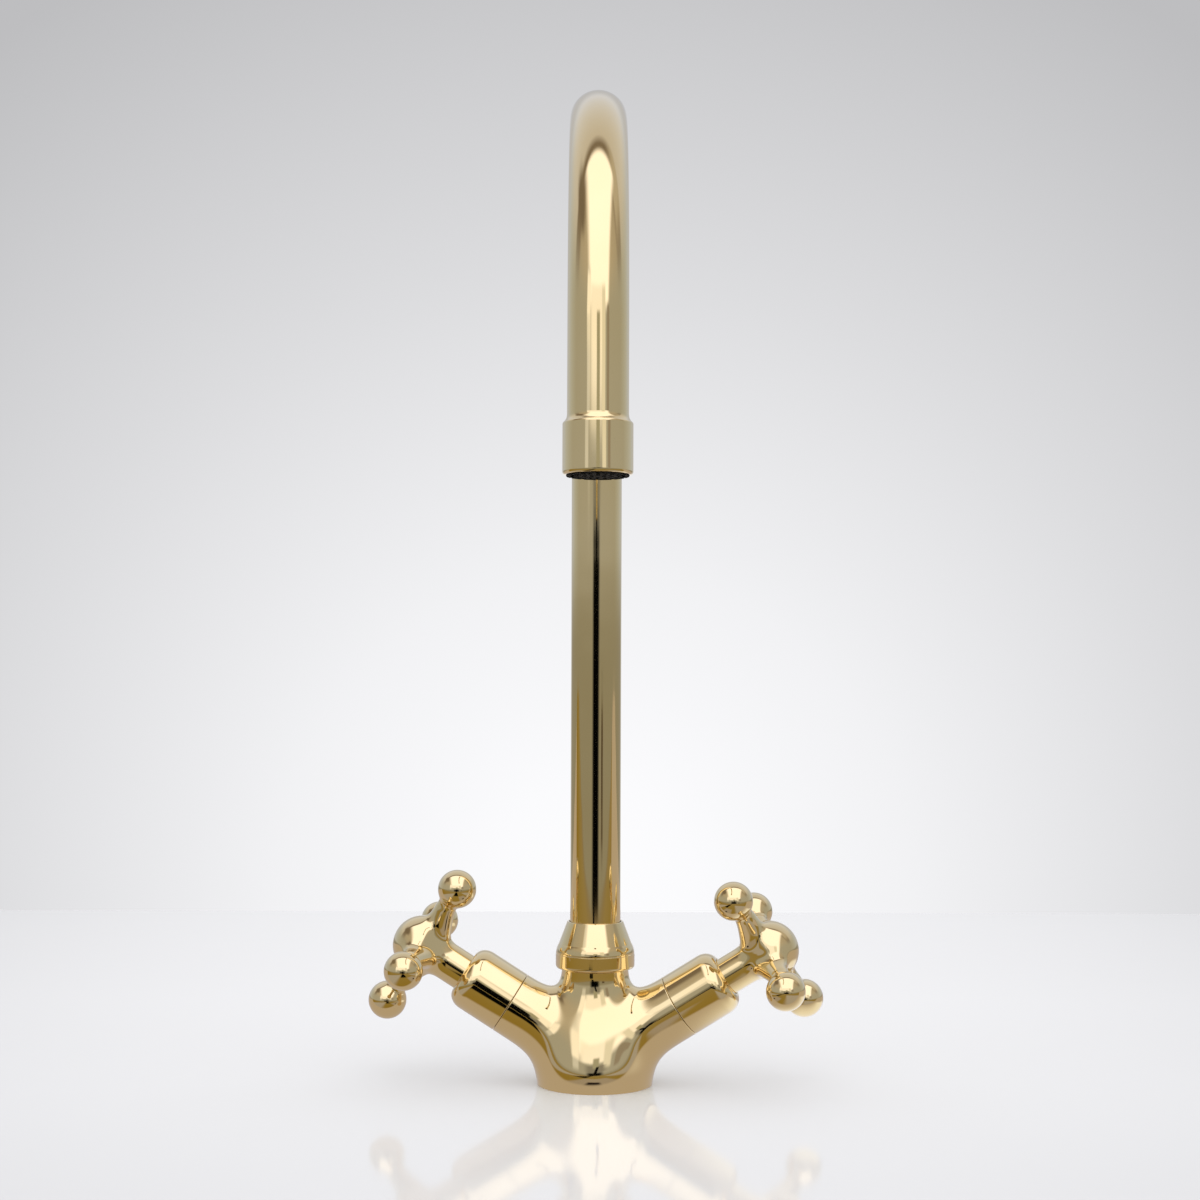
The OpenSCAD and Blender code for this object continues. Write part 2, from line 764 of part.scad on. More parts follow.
module aerator_screen() {
  screen_t = 0.8;
  color("silver")
    on_outlet() translate([0, 0, insert_top]) cylinder(r = insert_r - 1.5, h = screen_t);
}

module aerator_gasket() {
  color("dimgray")
    on_outlet()
      translate([0, 0, gasket_top])
        ring(insert_r, tube_in - 1, insert_top - gasket_top);
}

tap_body();
base_gasket();
spout_nut();
slip_ring(spud_top, spigot_r + run_gap);  // lower_slip_ring
slip_ring(tube_z + run_gap, tube_r + 2 * run_gap);  // upper_slip_ring
valve_bonnet(-1);  // left_valve_bonnet
bonnet_washer(-1);  // left_bonnet_washer
seat_seal(-1);  // left_seat_seal
fixed_disc(-1);  // left_fixed_disc
valve_cover(-1);  // left_valve_cover
handle(-1);  // left_handle
handle_grub_screw(-1);  // left_handle_grub_screw
spindle(-1);  // left_spindle
moving_disc(-1);  // left_moving_disc
spindle_o_rings(-1);  // left_spindle_o_rings
spindle_clip(-1);  // left_spindle_clip
valve_bonnet(1);  // right_valve_bonnet
bonnet_washer(1);  // right_bonnet_washer
seat_seal(1);  // right_seat_seal
fixed_disc(1);  // right_fixed_disc
valve_cover(1);  // right_valve_cover
handle(1);  // right_handle
handle_grub_screw(1);  // right_handle_grub_screw
spindle(1);  // right_spindle
moving_disc(1);  // right_moving_disc
spindle_o_rings(1);  // right_spindle_o_rings
spindle_clip(1);  // right_spindle_clip
spout_tube();
spout_spigot();
spigot_o_rings();
outlet_sleeve();
aerator_insert();
aerator_screen();
aerator_gasket();
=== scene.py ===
"""Gooseneck kitchen mixer in polished brass.

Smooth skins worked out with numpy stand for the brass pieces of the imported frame. The parts inside
keep their solids and get their own finishes. Lengths are in millimetres until a mesh is made.
"""

import json
import math

import bpy
import numpy as np
from mathutils import Matrix


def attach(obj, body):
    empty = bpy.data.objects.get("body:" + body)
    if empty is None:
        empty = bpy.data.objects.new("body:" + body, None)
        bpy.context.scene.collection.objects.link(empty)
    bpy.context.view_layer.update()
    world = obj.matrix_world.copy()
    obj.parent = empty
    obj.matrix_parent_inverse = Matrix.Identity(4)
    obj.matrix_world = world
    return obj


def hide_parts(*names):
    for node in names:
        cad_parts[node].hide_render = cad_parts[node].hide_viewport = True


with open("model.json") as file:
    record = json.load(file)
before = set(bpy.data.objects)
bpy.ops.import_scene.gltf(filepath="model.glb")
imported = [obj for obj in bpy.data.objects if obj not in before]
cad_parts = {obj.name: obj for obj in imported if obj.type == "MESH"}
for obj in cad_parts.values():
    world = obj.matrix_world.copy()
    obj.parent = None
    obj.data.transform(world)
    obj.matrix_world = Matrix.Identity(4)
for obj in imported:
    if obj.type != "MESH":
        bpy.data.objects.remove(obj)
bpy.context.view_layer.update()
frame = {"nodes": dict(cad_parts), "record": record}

# ---------------------------------------------------------------- sizes, as in the part's source
# Cast body: foot, neck, the height where the trunk starts to narrow, and how softly the arms run in
BASE_R, NECK_R, NECK_H, DOME_START, BLEND = 24.8, 14.3, 50.3, 4.0, 11.5
# The body's threaded end under the nut, and the bore that the spigot turns in
SPUD_R, SPUD_TOP, SPIGOT_BORE = 13.05, 62.0, 9.0
# Valves: where their axes cross the column, their rise and turn to the front, and the arm that ends at
# the seam. The bell cover over each is given along the valve
VALVE_Z, RISE, TOE, ARM_R, SEAM = 11.6, math.radians(32.4), math.radians(2.4), 14.1, 44.0
COVER_START, COVER_END, COVER_ROUND, COVER_SHOULDER = 44.15, 68.15, 5.4, 6.6
# Cross handle: its middle along the valve, arms and balls, dome, hollow flare, neck and the arms' webs
CROSS, BALL_REACH, BALL_R, DOME_R = 90.0, 31.3, 8.35, 12.8
HANDLE_NECK_R, FLARE, ARM_THIN, ARM_ROOT, WEB_DROP, HANDLE_START = 8.2, 13.3, 3.9, 6.0, 8.0, 59.95
THIN_FROM = BALL_REACH - BALL_R - 1.5     # from here to the ball an arm keeps its thickness
TURN = {-1: math.radians(15), 1: math.radians(30)}      # how far each cross stands turned at rest
SIDES = {-1: "left", 1: "right"}
# Spout: tube, bend, straight leg after it, and how far the photographed spout is turned
TUBE_R, TUBE_IN, TUBE_Z, BEND_Z, BEND_R = 11.0, 10.0, 64.95, 303.0, 96.0
BEND, LEG, SPOUT_TURN = math.radians(176.4), 55.0, math.radians(5)
# Spout nut and outlet collar
NUT_TOP, NUT_R, NUT_BAND, NUT_FOOT, NUT_INNER_TOP = 71.0, 17.2, 6.4, 50.6, 65.85
SLEEVE_R, SLEEVE_LEN, SLEEVE_GRIP, INSERT_R = 12.6, 19.5, 8.8, 11.15
# Underside: water inlets, stud hole, valve bores and the gasket's groove
INLET_X, INLET_R, STUD_R, BORE_R = 10.5, 4.55, 3.4, 10.0
GASKET_OUT, GASKET_IN, GASKET_DEEP = 23.0, 20.5, 1.6


# ---------------------------------------------------------------- arrays and meshes
def unit(v):
    """Each vector divided by its length."""
    return v / np.linalg.norm(v, axis=-1, keepdims=True)


def mix(a, b, t):
    """Straight line from a at t 0 to b at t 1."""
    return a * (1 - t) + b * t


def turn_z(angle):
    """Matrix that turns about Z."""
    c, s = math.cos(angle), math.sin(angle)
    return np.array([[c, -s, 0], [s, c, 0], [0, 0, 1]])


def turn_y(angle):
    """Matrix that turns about Y."""
    c, s = math.cos(angle), math.sin(angle)
    return np.array([[c, 0, s], [0, 1, 0], [-s, 0, c]])


def oval(cx, cy, rx, ry, start, stop, steps):
    """Points of an oval's arc about (cx, cy), from start to stop in degrees."""
    a = np.radians(np.linspace(start, stop, steps + 1))
    return np.stack([cx + rx * np.cos(a), cy + ry * np.sin(a)], -1)


def arc(cx, cy, r, start, stop, steps=10):
    """Points of a circle's arc about (cx, cy), from start to stop in degrees."""
    return oval(cx, cy, r, r, start, stop, steps)


def bent(start, corner, stop, steps):
    """Points of a curve that leaves start towards the corner and comes to stop from there."""
    t = np.linspace(0, 1, steps + 1)[:, None]
    return (1 - t) ** 2 * start + 2 * t * (1 - t) * corner + t ** 2 * stop


def grid_faces(rows, columns, closed):
    """Quads between the rows of a grid whose points are numbered row by row."""
    i, j = np.meshgrid(np.arange(rows - 1), np.arange(columns if closed else columns - 1), indexing="ij")
    k = (j + 1) % columns
    return np.stack([i * columns + j, i * columns + k, (i + 1) * columns + k, (i + 1) * columns + j],
                    -1).reshape(-1, 4)


def joined(parts):
    """One list of points and faces out of several, each (points, faces)."""
    start = np.cumsum([0] + [len(p) for p, _ in parts])
    return (np.concatenate([p for p, _ in parts]),
            np.concatenate([f + s for (_, f), s in zip(parts, start)]))


def merged(points, faces):
    """Points that lie together become one, and quads with a side of no length become triangles."""
    _, first, back = np.unique(np.round(points, 4), axis=0, return_index=True, return_inverse=True)
    faces = back.reshape(-1)[faces]
    same = faces == np.roll(faces, -1, axis=1)
    quads = faces[~same.any(1)]
    short = faces[same.sum(1) == 1]
    at = same[same.any(1) & (same.sum(1) == 1)].argmax(1)
    tris = np.stack([short[np.arange(len(short)), (at + k) % 4] for k in (1, 2, 3)], -1)
    return points[first], quads, tris


def revolved(profile, steps=144):
    """A profile of (radius, height) points turned about Z, each height a ring of the given radius.

    Each run longer than 0.8 mm gets a ring 0.04 mm from both its ends, so that it stays straight
    where it is shaded into the round edges beside it.
    """
    a = np.linspace(0, 2 * np.pi, steps, endpoint=False)
    profile = np.asarray(profile, float)
    run = np.diff(profile, axis=0)
    length = np.linalg.norm(run, axis=1, keepdims=True)
    inset = run * np.where(length > 0.8, 0.04 / np.maximum(length, 0.8), 0)
    rings = np.stack([profile[:-1], profile[:-1] + inset, profile[1:] - inset], 1).reshape(-1, 2)
    r, z = np.concatenate([rings, profile[-1:]]).T
    points = np.stack([r[:, None] * np.cos(a), r[:, None] * np.sin(a), np.repeat(z[:, None], steps, 1)],
                      -1)
    return points.reshape(-1, 3), grid_faces(len(r), steps, True)


def make(name, points, faces, body, node, finish, outward=None):
    """Puts points and faces into a mesh, smooth but for edges sharper than 40 degrees.

    The piece rides on a body and stands for a node. outward gives the true normal at any point of
    the skin.
    """
    points, quads, tris = merged(points, faces)
    mesh = bpy.data.meshes.new(name)
    sizes = np.concatenate([np.full(len(quads), 4), np.full(len(tris), 3)])
    corners = np.concatenate([quads.ravel(), tris.ravel()]).astype(np.int32)
    mesh.vertices.add(len(points))
    mesh.vertices.foreach_set("co", (points / 1000).astype(np.float32).ravel())
    mesh.loops.add(len(corners))
    mesh.loops.foreach_set("vertex_index", corners)
    mesh.polygons.add(len(sizes))
    mesh.polygons.foreach_set("loop_start", (np.cumsum(sizes) - sizes).astype(np.int32))
    mesh.polygons.foreach_set("use_smooth", np.ones(len(sizes), bool))
    mesh.update(calc_edges=True)
    mesh.validate()
    mesh.set_sharp_from_angle(angle=math.radians(40))
    if outward is not None:
        normals = np.empty(len(corners) * 3, np.float32)
        mesh.corner_normals.foreach_get("vector", normals)
        normals = normals.reshape(-1, 3)
        true = outward(points)[corners]
        # A corner whose own normal strays far from the field's is on a cut or a bore, and keeps its own
        close = (true * normals).sum(1) > 0.9
        normals[close] = true[close]
        mesh.normals_split_custom_set(normals)
    mesh.materials.append(finish)
    obj = bpy.data.objects.new(name, mesh)
    bpy.context.scene.collection.objects.link(obj)
    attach(obj, body)
    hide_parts(node)


def on_valve(points, side, turn=0.0):
    """Places points whose +Z runs out along a valve. The left valve mirrors the right one."""
    m = turn_z(-TOE) @ turn_y(math.pi / 2 - RISE) @ turn_z(turn)
    return (points @ m.T + [0, 0, VALVE_Z]) * [side, 1, 1]


def on_bend(points):
    """Places points of the spout's plane: X forward from the column, Z up, turned as the spout is."""
    return np.stack([points[..., 1], -points[..., 0], points[..., 2]], -1) @ turn_z(SPOUT_TURN).T


def facing(faces, side):
    """Mirrored faces are wound the other way, so that they still point outwards."""
    return faces if side > 0 else faces[:, ::-1]


# ---------------------------------------------------------------- forms as fields, below zero inside
def soft_min(a, b, k):
    """The lesser of two fields, run together over a width k with no break in curvature."""
    h = np.maximum(k - np.abs(a - b), 0) / k
    return np.minimum(a, b) - h ** 3 * k / 6


def slope(field, points, step=0.02):
    """The field's slope at each point, by the difference over a short step each way."""
    return unit(np.stack([field(points + e) - field(points - e) for e in np.eye(3) * step], -1))


def find_skin(field, start, way, stride=1.5, halvings=24):
    """Walks out from inside the form until the field turns positive, then halves the last stride."""
    far = np.full(way.shape[:-1], stride)
    inside = field(start + far[..., None] * way) < 0
    while inside.any():
        far = far + stride * inside
        inside &= field(start + far[..., None] * way) < 0
    low = far - stride
    for _ in range(halvings):
        middle = (low + far) / 2
        inside = field(start + middle[..., None] * way) < 0
        low, far = np.where(inside, middle, low), np.where(inside, far, middle)
    return start + low[..., None] * way


def lattice_way(corners, i, j, k):
    """Direction to a point of a box, mixed from the directions to its 8 corners."""
    i, j, k = (np.asarray(x, float)[..., None] for x in (i, j, k))
    low, top = (mix(mix(corners[0, 0, end], corners[1, 0, end], i),
                    mix(corners[0, 1, end], corners[1, 1, end], i), j) for end in (0, 1))
    return unit(mix(low, top, k))


def square_loop(n):
    """Two coordinates, 0 to 1, of the points once round a square with n steps a side."""
    m = np.arange(4 * n)
    a = np.select([m < n, m < 2 * n, m < 3 * n], [m, n, 3 * n - m], 0) / n
    b = np.select([m < n, m < 2 * n, m < 3 * n], [0, m - n, n], 4 * n - m) / n
    return a, b


def limb(field, axis, edge, end, rim, rings, profile=(), starts=(), tilts=()):
    """A limb that grows out of the box, as rings of skin found from places further along its axis.

    Each ring is looked for towards the straight line from the box's edge to a rim of radius rim at
    the distance end. More rings may follow from starts, at tilts from the axis, then a profile of
    (distance, radius) points.
    """
    across = unit(edge - (edge @ axis)[:, None] * axis)
    first = find_skin(field, np.zeros_like(edge), edge)
    t = np.linspace(0, 1, rings)[:, None, None]
    ways = mix(first, end * axis + rim * across, t) - t * end * axis
    ways[0] = edge
    places = t * end * axis + np.zeros_like(ways)
    if len(starts):
        lean = np.asarray(tilts)[:, None, None]
        more = np.asarray(starts)[:, None, None] * axis + np.zeros((1, len(edge), 1))
        ways = np.concatenate([ways, np.cos(lean) * axis + np.sin(lean) * across])
        places = np.concatenate([places, more])
    skin = find_skin(field, places, unit(ways))
    points = np.concatenate([skin] + [(s * axis + r * across)[None] for s, r in profile])
    return points.reshape(-1, 3), grid_faces(len(points), len(edge), True)


def cap(field, ways, n):
    """A face of the box with no limb: the skin along a square of directions."""
    return find_skin(field, np.zeros_like(ways), ways).reshape(-1, 3), grid_faces(n + 1, n + 1, False)


# ---------------------------------------------------------------- body
def trunk_radius(z):
    """From the foot's radius to the neck's along half a cosine wave."""
    t = np.clip((z - DOME_START) / (NECK_H - 2 - DOME_START), 0, 1)
    return NECK_R + (BASE_R - NECK_R) * (1 + np.cos(np.pi * t)) / 2


ARMS = {s: np.array([s * math.cos(RISE) * math.cos(TOE), -math.cos(RISE) * math.sin(TOE), math.sin(RISE)])
        for s in (-1, 1)}


def body_field(p):
    """A round trunk and two round arms, run together softly. p starts from where the axes cross."""
    arms = [np.linalg.norm(p - np.maximum(p @ a, 0)[..., None] * a, axis=-1) - ARM_R
            for a in ARMS.values()]
    trunk = np.hypot(p[..., 0], p[..., 1]) - trunk_radius(p[..., 2] + VALVE_Z)
    return soft_min(trunk, np.minimum(*arms), BLEND * 1.5)


def underside():
    """The flat foot inside the gasket's groove, as three patches round the stud and inlet holes.

    Each patch runs straight from its edge to its hole's rim, then up the hole's wall to a closed end.
    """
    count = 96                                    # points round each hole
    meet, nowhere = 5.6, 99                       # where patches meet beside the stud, and past any edge
    a = np.linspace(0, 2 * np.pi, count, endpoint=False)
    way = np.stack([np.cos(a), np.sin(a)], -1)
    back, parts = -INLET_X * math.tan(TOE), []
    for x, y, r, depth, left, right in (
            (-INLET_X, back, INLET_R, 11, -nowhere, -meet), (0, 0, STUD_R, 14, -meet, meet),
            (INLET_X, back, INLET_R, 11, meet, nowhere)):
        along = x * way[:, 0] + y * way[:, 1]
        reach = -along + np.sqrt(along ** 2 + GASKET_IN ** 2 - x * x - y * y)
        across = np.where(np.abs(way[:, 0]) < 1e-9, 1e-9, way[:, 0])
        side = np.where(way[:, 0] > 0, right - x, left - x) / across
        reach = np.minimum(reach, np.where(side > 0, side, 1e9))
        wall = [(r + 0.5, 0), (r, 0.5), (r, depth), (0, depth)]
        rings = [(reach, 0)] + [(np.full(count, q), z) for q, z in wall]
        points = np.stack([np.column_stack([x + q * way[:, 0], y + q * way[:, 1], np.full(count, z)])
                           for q, z in rings])
        parts.append((points.reshape(-1, 3), grid_faces(len(rings), count, True)))
    return parts


def tap_body(finish):
    """The cast body: two caps front and back, and limbs for the arms, the neck and the foot."""
    n = 56
    side, top, low = math.radians(40), math.radians(61), math.radians(-8)
    corners = np.array([[[[x * math.cos(side) * math.cos(t), y * math.sin(side), math.cos(side) * math.sin(t)]
                          for t in (low, top)] for y in (-1, 1)] for x in (-1, 1)])
    a, b = square_loop(n)
    u, v = np.meshgrid(np.linspace(0, 1, n + 1), np.linspace(0, 1, n + 1), indexing="ij")
    one, none = np.ones_like(a), np.zeros_like(a)
    edge_r = 0.3

    def rim(end, r, inner):
        """A flat end's edge, rounded in six rings, then the profile that goes on inside."""
        edge = [(end - edge_r * (1 - q), r - edge_r * (1 - math.sqrt(max(0, 1 - q * q))))
                for q in np.linspace(0, 1, 6)]
        return edge + inner

    def grown(axis, edge, end, rings, r, inner):
        """A limb of the body up to a rounded end."""
        return limb(body_field, axis, edge, end - edge_r, r, rings, rim(end, r, inner))

    # Bores are closed off where other pieces fill them: 10 mm into an arm and 20 mm into the neck
    bore_end, neck_end, spud_end = SEAM - 10, NECK_H - VALVE_Z, SPUD_TOP - VALVE_Z
    bore = [(SEAM, BORE_R), (bore_end, BORE_R), (bore_end, 0)]
    spud = [(neck_end, SPUD_R), (spud_end - 0.4, SPUD_R), (spud_end, SPUD_R - 0.4),
            (spud_end, SPIGOT_BORE), (spud_end - 20, SPIGOT_BORE), (spud_end - 20, 0)]
    groove = [(VALVE_Z, GASKET_OUT), (VALVE_Z - GASKET_DEEP, GASKET_OUT),
              (VALVE_Z - GASKET_DEEP, GASKET_IN), (VALVE_Z, GASKET_IN)]
    up = np.array([0.0, 0, 1])
    # Each limb has its axis, its edge on the box, where it ends, how many rings, and its end's radius
    parts = [
        grown(ARMS[1], lattice_way(corners, one, a, b), SEAM, 64, ARM_R, bore),
        grown(ARMS[-1], lattice_way(corners, none, a, b), SEAM, 64, ARM_R, bore),
        grown(up, lattice_way(corners, a, b, one), neck_end, 56, NECK_R, spud),
        grown(-up, lattice_way(corners, a, b, none), VALVE_Z, 30, BASE_R, groove),
        cap(body_field, lattice_way(corners, u, np.zeros_like(u), v), n),
        cap(body_field, lattice_way(corners, u, np.ones_like(u), v), n)]
    # The left arm, the neck and the back cap are wound outwards as they come, and the others turned
    parts = [(p + [0, 0, VALVE_Z], f if k in (1, 2, 5) else f[:, ::-1]) for k, (p, f) in enumerate(parts)]
    points, faces = joined(parts + underside())
    make("body_skin", points, faces, "root", "tap_body", finish,
         outward=lambda p: slope(body_field, p - [0, 0, VALVE_Z]))


# ---------------------------------------------------------------- handles
FLARE_TURN = 2 * math.atan((DOME_R - HANDLE_NECK_R) / FLARE)
FLARE_R = FLARE / math.sin(FLARE_TURN)


def cross_arm(along, beside, z):
    """An arm that narrows towards its ball, over a leaning web that fills the corner below it."""
    root = DOME_R * 0.62                      # the arm narrows from here out
    across = np.hypot(beside, z)
    t = np.clip((along - root) / (THIN_FROM - root), 0, 1)
    arm = np.maximum(across - ARM_THIN - (ARM_ROOT - ARM_THIN) * (1 - t) ** 2, along - BALL_REACH)
    reach, rise = BALL_REACH * 0.64, WEB_DROP - 0.5      # the web's far end, from its foot on the hub
    share = np.clip((along * reach + (z + WEB_DROP) * rise) / (reach ** 2 + rise ** 2), 0, 1)
    off = np.sqrt((along - share * reach) ** 2 + (z + WEB_DROP - share * rise) ** 2 + beside ** 2)
    web = off - mix(ARM_THIN + 0.7, ARM_THIN - 0.2, share)
    ball = np.hypot(along - BALL_REACH, across) - BALL_R
    return soft_min(soft_min(arm, web, 4), ball, 3)


def handle_field(p):
    """A dome that meets a hollow flare in a soft edge, with four arms run into them."""
    x, y, z = np.abs(p[..., 0]), np.abs(p[..., 1]), p[..., 2]
    round_ = np.hypot(x, y)
    dome = np.where(z > 0, np.linalg.norm(p, axis=-1), round_) - DOME_R
    flare = np.where(z < -FLARE, round_ - HANDLE_NECK_R,
                     FLARE_R - np.hypot(round_ - HANDLE_NECK_R - FLARE_R, z + FLARE))
    hub = -soft_min(-dome, -flare, 2.2)
    return soft_min(hub, soft_min(cross_arm(x, y, z), cross_arm(y, x, z), 4.5), 4.5)


def cross_handle(side, finish):
    """The cross: the dome closes the box's outer face, and limbs grow into neck, arms and balls."""
    n = 30
    top, low = math.radians(32), math.radians(-40)
    corners = np.array([[[[x * math.cos(t) / math.sqrt(2), y * math.cos(t) / math.sqrt(2), math.sin(t)]
                          for t in (low, top)] for y in (-1, 1)] for x in (-1, 1)])
    a, b = square_loop(n)
    one, none = np.ones_like(a), np.zeros_like(a)
    u, v = np.meshgrid(np.linspace(0, 1, n + 1), np.linspace(0, 1, n + 1), indexing="ij")
    neck_end = CROSS - HANDLE_START
    # Rings are looked for from further and further along the arm, then from the ball's middle round to
    # its outer pole
    starts = np.concatenate([np.linspace(THIN_FROM, BALL_REACH, 13)[1:], np.full(44, BALL_REACH)])
    tilts = np.radians(np.concatenate([np.linspace(90, 150, 13)[1:], np.linspace(150, 0, 45)[1:]]))
    neck_profile = [(neck_end - 0.3, HANDLE_NECK_R), (neck_end - 0.1, HANDLE_NECK_R - 0.1),
                    (neck_end, HANDLE_NECK_R - 0.3), (neck_end, 4.1), (neck_end - 6, 4.1), (neck_end - 6, 0)]

    def arm(axis, edge):
        """A limb along an arm and round its ball."""
        return limb(handle_field, np.array(axis, float), edge, THIN_FROM, ARM_THIN, 40, (), starts, tilts)

    parts = [
        arm([1, 0, 0], lattice_way(corners, one, a, b)), arm([0, 1, 0], lattice_way(corners, b, one, a)),
        arm([-1, 0, 0], lattice_way(corners, none, b, a)), arm([0, -1, 0], lattice_way(corners, a, none, b)),
        limb(handle_field, np.array([0, 0, -1.0]), lattice_way(corners, b, a, none), neck_end - 0.3,
             HANDLE_NECK_R, 60, neck_profile),
        cap(handle_field, lattice_way(corners, u, v, np.ones_like(u)), n)]
    parts = [(p, f if k == 5 else f[:, ::-1]) for k, (p, f) in enumerate(parts)]
    points, faces = joined(parts)
    name = SIDES[side]
    place = turn_z(-TOE) @ turn_y(math.pi / 2 - RISE) @ turn_z(TURN[side])

    def outward(p):
        """True normals, worked out on the valve's own axes."""
        local = (p * [side, 1, 1] - [0, 0, VALVE_Z]) @ place - [0, 0, CROSS]
        return (slope(handle_field, local) @ place.T) * [side, 1, 1]

    make(name + "_cross_handle", on_valve(points + [0, 0, CROSS], side, TURN[side]), facing(faces, side),
         name + "_cross", name + "_handle", finish, outward=outward)


# ---------------------------------------------------------------- turned pieces
def valve_cover(side, finish):
    """A bell over the valve: a straight wall, a round shoulder, and a rim round the handle's neck."""
    inner, mouth, end = ARM_R - 1.3, HANDLE_NECK_R + 0.4, COVER_END
    throat, widened = end - 4.05, end - 8.55      # the mouth's wall ends, and the inside is at full width
    profile = np.concatenate([
        [[inner, COVER_START], [ARM_R - 0.3, COVER_START]],
        arc(ARM_R - 0.3, COVER_START + 0.3, 0.3, -90, 0, 5),
        oval(ARM_R - COVER_ROUND, end - COVER_SHOULDER, COVER_ROUND, COVER_SHOULDER, 0, 86, 40),
        arc(mouth + 0.35, end - 0.42, 0.4, 80, 180, 6),
        [[mouth, throat], [inner - 4.5, throat], [inner, widened], [inner, COVER_START]]])
    points, faces = revolved(profile)
    name = SIDES[side]
    make(name + "_bell_cover", on_valve(points, side), facing(faces, side), "root",
         name + "_valve_cover", finish)


def spout_nut(finish):
    """A cone that rounds over above a short band, with its top edge just clear of the tube."""
    lip, foot, band = TUBE_R + 0.4, NUT_FOOT, NUT_FOOT + NUT_BAND
    inner, thread = 12.65, SPUD_R + 0.1           # inside the cone, and round the body's threaded end
    profile = np.concatenate([
        [[thread, foot]], arc(NUT_R - 1.5, foot + 1.5, 1.5, -90, 0, 12),
        arc(NUT_R - 0.12, band - 0.12, 0.12, 0, 90, 4), [[NUT_R - 0.2, band + 0.02]],
        bent([NUT_R - 0.12, band + 0.35], [NUT_R - 0.2, band + 2.6], [NUT_R - 1.35, band + 4.5], 12),
        arc(lip + 0.62, NUT_TOP - 0.3, 0.3, 20, 90, 5), arc(lip + 0.2, NUT_TOP - 0.2, 0.2, 90, 180, 4),
        [[lip, NUT_INNER_TOP], [inner, NUT_INNER_TOP], [inner, SPUD_TOP + 0.4], [thread, SPUD_TOP + 0.4],
         [thread, foot]]])
    points, faces = revolved(profile, 168)
    make("spout_nut_skin", points, faces, "root", "spout_nut", finish)


def spout_tube(finish):
    """A ring of the tube carried up the column, round the bend and down the leg, outside and inside."""
    up, round_, past, across = 40, 221, 12, 128   # rings up, round the bend and past it, points in a ring
    straight = np.stack([np.zeros(up), np.linspace(TUBE_Z, BEND_Z, up, endpoint=False)], -1)
    turned = np.linspace(0, BEND, round_)
    bend = np.stack([BEND_R * (1 - np.cos(turned)), BEND_Z + BEND_R * np.sin(turned)], -1)
    down = np.array([math.sin(BEND), math.cos(BEND)])
    leg = bend[-1] + np.linspace(0, LEG - SLEEVE_LEN + SLEEVE_GRIP, past + 1)[1:, None] * down
    path = np.concatenate([straight, bend, leg])
    heading = np.concatenate([np.zeros(up), turned, np.full(past, BEND)])
    a = np.linspace(0, 2 * np.pi, across, endpoint=False)

    def wall(r):
        """One ring of radius r at each point of the path, square to it."""
        x = path[:, :1] + r * np.cos(a) * np.cos(heading)[:, None]
        z = path[:, 1:] - r * np.cos(a) * np.sin(heading)[:, None]
        return np.stack([x, np.repeat(r * np.sin(a)[None], len(path), 0), z], -1)

    outer, inner = wall(TUBE_R), wall(TUBE_IN)[::-1]
    points = np.concatenate([outer, inner, outer[:1]])
    make("gooseneck", on_bend(points.reshape(-1, 3)), grid_faces(len(points), across, True)[:, ::-1],
         "spout", "spout_tube", finish)


def outlet_sleeve(finish):
    """A collar with a round shoulder and a round lip, brazed to the tube with a small hollow fillet."""
    top, bore = -SLEEVE_LEN, TUBE_R + 0.03
    profile = np.concatenate([
        bent([bore, top - 1.9], [TUBE_R + 0.1, top - 0.5], [TUBE_R + 0.75, top + 0.15], 8),
        arc(SLEEVE_R - 1.1, top + 1.6, 1.1, -60, 0), arc(SLEEVE_R - 1.2, -1.2, 1.2, 0, 90, 14),
        [[INSERT_R + 0.1, 0], [INSERT_R + 0.1, -9], [TUBE_IN, -9], [TUBE_IN, -10.6], [bore, -10.6],
         [bore, top - 1.9]]])
    points, faces = revolved(profile, 168)
    end = np.array([BEND_R * (1 - math.cos(BEND)), 0, BEND_Z + BEND_R * math.sin(BEND)])
    down = np.array([math.sin(BEND), 0, math.cos(BEND)])
    across = np.array([math.cos(BEND), 0, -math.sin(BEND)])
    placed = end + (LEG + points[:, 2:]) * down + points[:, :1] * across + points[:, 1:2] * [0, 1, 0]
    make("outlet_collar", on_bend(placed), faces[:, ::-1], "spout", "outlet_sleeve", finish)


# ---------------------------------------------------------------- finishes
def colour(code):
    """sRGB hex to the linear colour that the shaders use."""
    c = np.array([int(code[i:i + 2], 16) for i in (1, 3, 5)]) / 255
    return (*np.where(c <= 0.04045, c / 12.92, ((c + 0.055) / 1.055) ** 2.4), 1.0)


def add(tree, kind, inputs=None, stops=(), **settings):
    """Adds a node. A setting names a property, and stops are a colour ramp's (place, hex colour) pairs.

    inputs gives an input, by its name or number, an output to link or a value. A colour may be hex.
    """
    node = tree.nodes.new("ShaderNode" + kind)
    for key, value in settings.items():
        setattr(node, key, value)
    for key, value in (inputs or {}).items():
        if isinstance(value, bpy.types.NodeSocket):
            tree.links.new(node.inputs[key], value)
        else:
            node.inputs[key].default_value = colour(value) if isinstance(value, str) else value
    if stops:
        elements = node.color_ramp.elements
        while len(elements) < len(stops):
            elements.new(0.5)
        for element, (place, code) in zip(elements, stops):
            element.position, element.color = place, colour(code)
    return node


def blank(name):
    """An empty node material and its tree."""
    material = bpy.data.materials.new(name)
    material.use_nodes = True
    material.node_tree.nodes.clear()
    return material, material.node_tree


